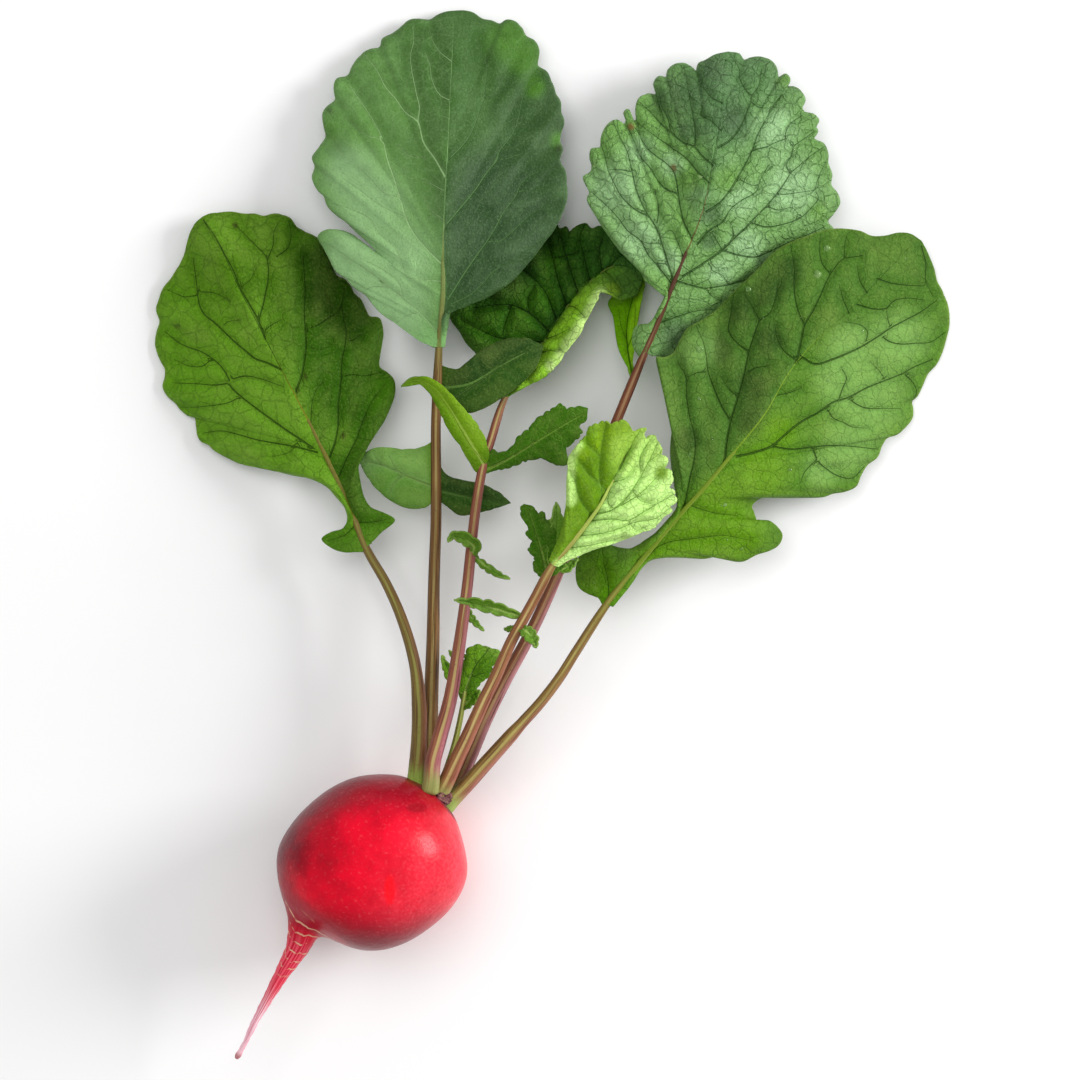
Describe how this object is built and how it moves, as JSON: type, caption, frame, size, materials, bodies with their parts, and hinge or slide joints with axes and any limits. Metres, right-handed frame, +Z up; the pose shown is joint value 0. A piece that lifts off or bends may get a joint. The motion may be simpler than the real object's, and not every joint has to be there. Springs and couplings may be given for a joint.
{
  "type": "radish with leaves",
  "caption": "Fresh round radish lying on its side, with a smooth crimson bulb, a tapering taproot and a spread tuft of lobed, scalloped green leaves on slender stalks.",
  "frame": {"origin": "middle of the small flat spot on which the bulb rests, at the level of the surface", "axes": "+Z up from the surface; +Y in plan along the tuft, from the bulb towards the leaf tips; +X to the right of the tuft as seen from above"},
  "size_m": [0.1688, 0.2215, 0.0358],
  "materials": {
    "skin": "smooth waxy crimson skin that fades to pinkish white at the tail",
    "stalk_olive": "ribbed olive green stalk, reddish at its foot",
    "stalk_brown": "ribbed brown stalk with a pale groove",
    "stalk_red": "ribbed red-brown stalk with a pale groove",
    "leaf_mid": "satin mid green with dark veins",
    "leaf_grey": "satin grey green with fine veins",
    "leaf_dark": "satin dark green with a bright folded edge",
    "leaf_pale": "crinkled pale grey green",
    "leaf_deep": "satin deep green, yellower at its base",
    "leaf_lime": "crinkled lime green of a young leaf"
  },
  "bodies": {
    "root": {"root": "skin", "left_leaf_stalk": "stalk_olive", "left_leaf_blade": "leaf_mid", "top_leaf_stalk": "stalk_brown", "top_leaf_blade": "leaf_grey", "folded_leaf_stalk": "stalk_red", "folded_leaf_blade": "leaf_dark", "crinkled_leaf_stalk": "stalk_red", "crinkled_leaf_blade": "leaf_pale", "right_leaf_stalk": "stalk_olive", "right_leaf_blade": "leaf_deep", "young_leaf_stalk": "stalk_red", "young_leaf_blade": "leaf_lime", "heart_leaf": "leaf_mid"}
  },
  "joints": []
}
